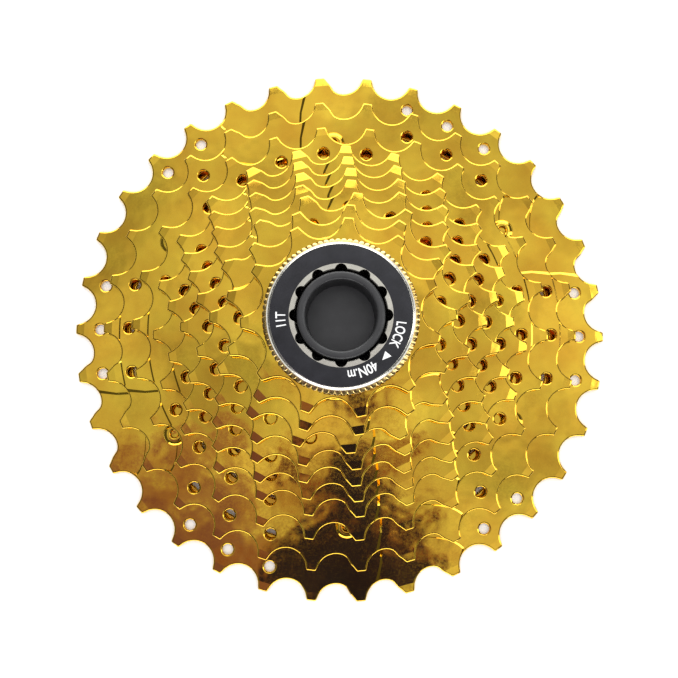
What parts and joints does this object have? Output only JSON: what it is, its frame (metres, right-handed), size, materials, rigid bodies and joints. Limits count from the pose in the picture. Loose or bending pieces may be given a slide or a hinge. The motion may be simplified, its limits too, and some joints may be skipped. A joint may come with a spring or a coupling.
{
  "type": "cassette sprocket",
  "caption": "Stepped bicycle cassette of toothed steel sprockets in a polished gold finish, with a black lockring and the plastic core and plug it ships on.",
  "frame": {"origin": "on the axle, at the back face of the largest sprocket, on which the cassette lies", "axes": "+Z along the axle towards the lockring, +Y up in a front view, +X to the right in a front view"},
  "size_m": [0.139, 0.1388, 0.0407],
  "materials": {
    "gold_steel": "mirror-polished steel with a thin yellow gold coat",
    "rivet_steel": "gold-coated steel rivet with a turned head",
    "washer_steel": "serrated bright steel with a pale gold tint",
    "black_alloy": "black anodised face with bright machined edges",
    "spacer_plastic": "moulded black plastic",
    "core_plastic": "moulded dark grey plastic, softly satin"
  },
  "bodies": {
    "cluster": {"sprocket_34t": "gold_steel", "sprocket_30t": "gold_steel", "sprocket_26t": "gold_steel", "sprocket_23t": "gold_steel", "sprocket_21t": "gold_steel", "sprocket_19t": "gold_steel", "sprocket_17t": "gold_steel", "sprocket_15t": "gold_steel", "sprocket_13t": "gold_steel", "sprocket_11t": "gold_steel", "spacer_34t_30t": "spacer_plastic", "spacer_30t_26t": "spacer_plastic", "spacer_26t_23t": "spacer_plastic", "spacer_23t_21t": "spacer_plastic", "spacer_21t_19t": "spacer_plastic", "spacer_19t_17t": "spacer_plastic", "spacer_17t_15t": "spacer_plastic", "spacer_15t_13t": "spacer_plastic", "rivet_1": "rivet_steel", "rivet_2": "rivet_steel", "rivet_3": "rivet_steel", "rivet_4": "rivet_steel", "rivet_5": "rivet_steel", "rivet_6": "rivet_steel", "packing_core": "core_plastic"},
    "washer": {"lockring_washer": "washer_steel"},
    "lockring": {"lockring": "black_alloy"},
    "plug": {"packing_plug": "core_plastic"}
  },
  "joints": [
    {"name": "lockring_travel", "type": "slide", "parent": "cluster", "child": "washer", "axis": [0, 0, 1], "range_m": [0, 0.00472]},
    {"name": "lockring_turn", "type": "hinge", "parent": "washer", "child": "lockring", "pos_m": [0, 0, 0.0384], "axis": [0, 0, 1], "range_deg": [0, 1600]},
    {"name": "plug_pull", "type": "slide", "parent": "cluster", "child": "plug", "axis": [0, 0, 1], "range_m": [0, 0.03]}
  ],
  "couplings": [
    {"joint": "lockring_travel", "follows": "lockring_turn", "m_per_rad": 0.00016844}
  ]
}
